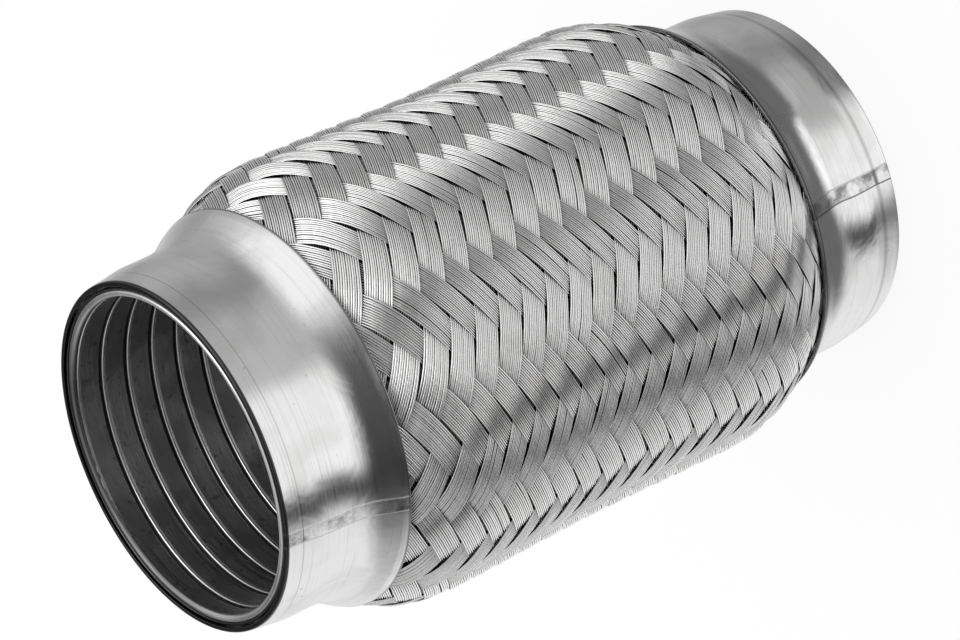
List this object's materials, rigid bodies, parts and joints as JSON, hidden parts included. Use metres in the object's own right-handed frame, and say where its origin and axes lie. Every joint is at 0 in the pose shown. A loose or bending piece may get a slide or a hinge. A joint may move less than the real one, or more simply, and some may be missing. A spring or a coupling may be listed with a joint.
{
  "type": "exhaust flex pipe",
  "caption": "Flexible exhaust coupling: two drawn steel end caps on a braided wire sleeve, with a corrugated bellows and a spiral-wound liner inside.",
  "frame": {"origin": "middle of the lower rim, on the pipe's axis", "axes": "+Z along the pipe's axis, up to the other rim; the pipe stands on its end; the caps' seams face -Y"},
  "size_m": [0.0708, 0.0708, 0.12],
  "materials": {
    "cap_steel": "bright drawn stainless sheet with rolling marks",
    "braid_wire": "bright drawn stainless wire",
    "bellows_steel": "smooth stainless sheet",
    "liner_steel": "dull rolled stainless strip"
  },
  "bodies": {
    "root": {"lower_end_cap": "cap_steel", "upper_end_cap": "cap_steel", "wire_braid": "braid_wire", "bellows": "bellows_steel", "spiral_liner": "liner_steel"}
  },
  "joints": []
}
